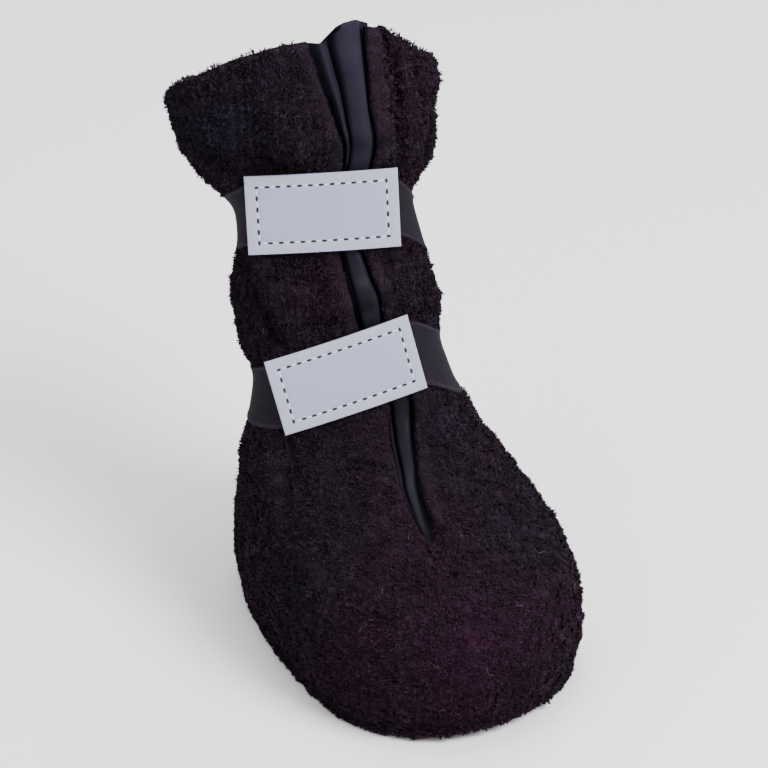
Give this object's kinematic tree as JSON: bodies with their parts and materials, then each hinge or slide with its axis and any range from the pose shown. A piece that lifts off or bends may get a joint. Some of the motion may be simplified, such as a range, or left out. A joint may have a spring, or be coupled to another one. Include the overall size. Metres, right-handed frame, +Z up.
{
  "type": "dog shoe",
  "caption": "Tall pile-fleece winter dog boot with a wide toe, a pleated softshell gusset down the front and two elastic straps under reflective tabs.",
  "frame": {"origin": "on the floor, at the middle of the sole's length and width", "axes": "+Z up, -Y towards the toe, +X towards the right of a viewer who faces the toe"},
  "size_m": [0.0952, 0.1603, 0.2076],
  "materials": {
    "fleece": "near-black pile fleece with a purple-brown tint",
    "softshell": "smooth navy-black softshell",
    "sole": "matt black rubbered textile",
    "felt": "dark felt",
    "elastic": "ribbed black elastic",
    "reflective": "silver-grey reflective cloth"
  },
  "bodies": {
    "root": {"upper": "fleece", "gusset": "softshell", "outsole": "sole", "insole": "felt", "strap_upper": "elastic", "tab_upper": "reflective", "strap_lower": "elastic", "tab_lower": "reflective"}
  },
  "joints": []
}
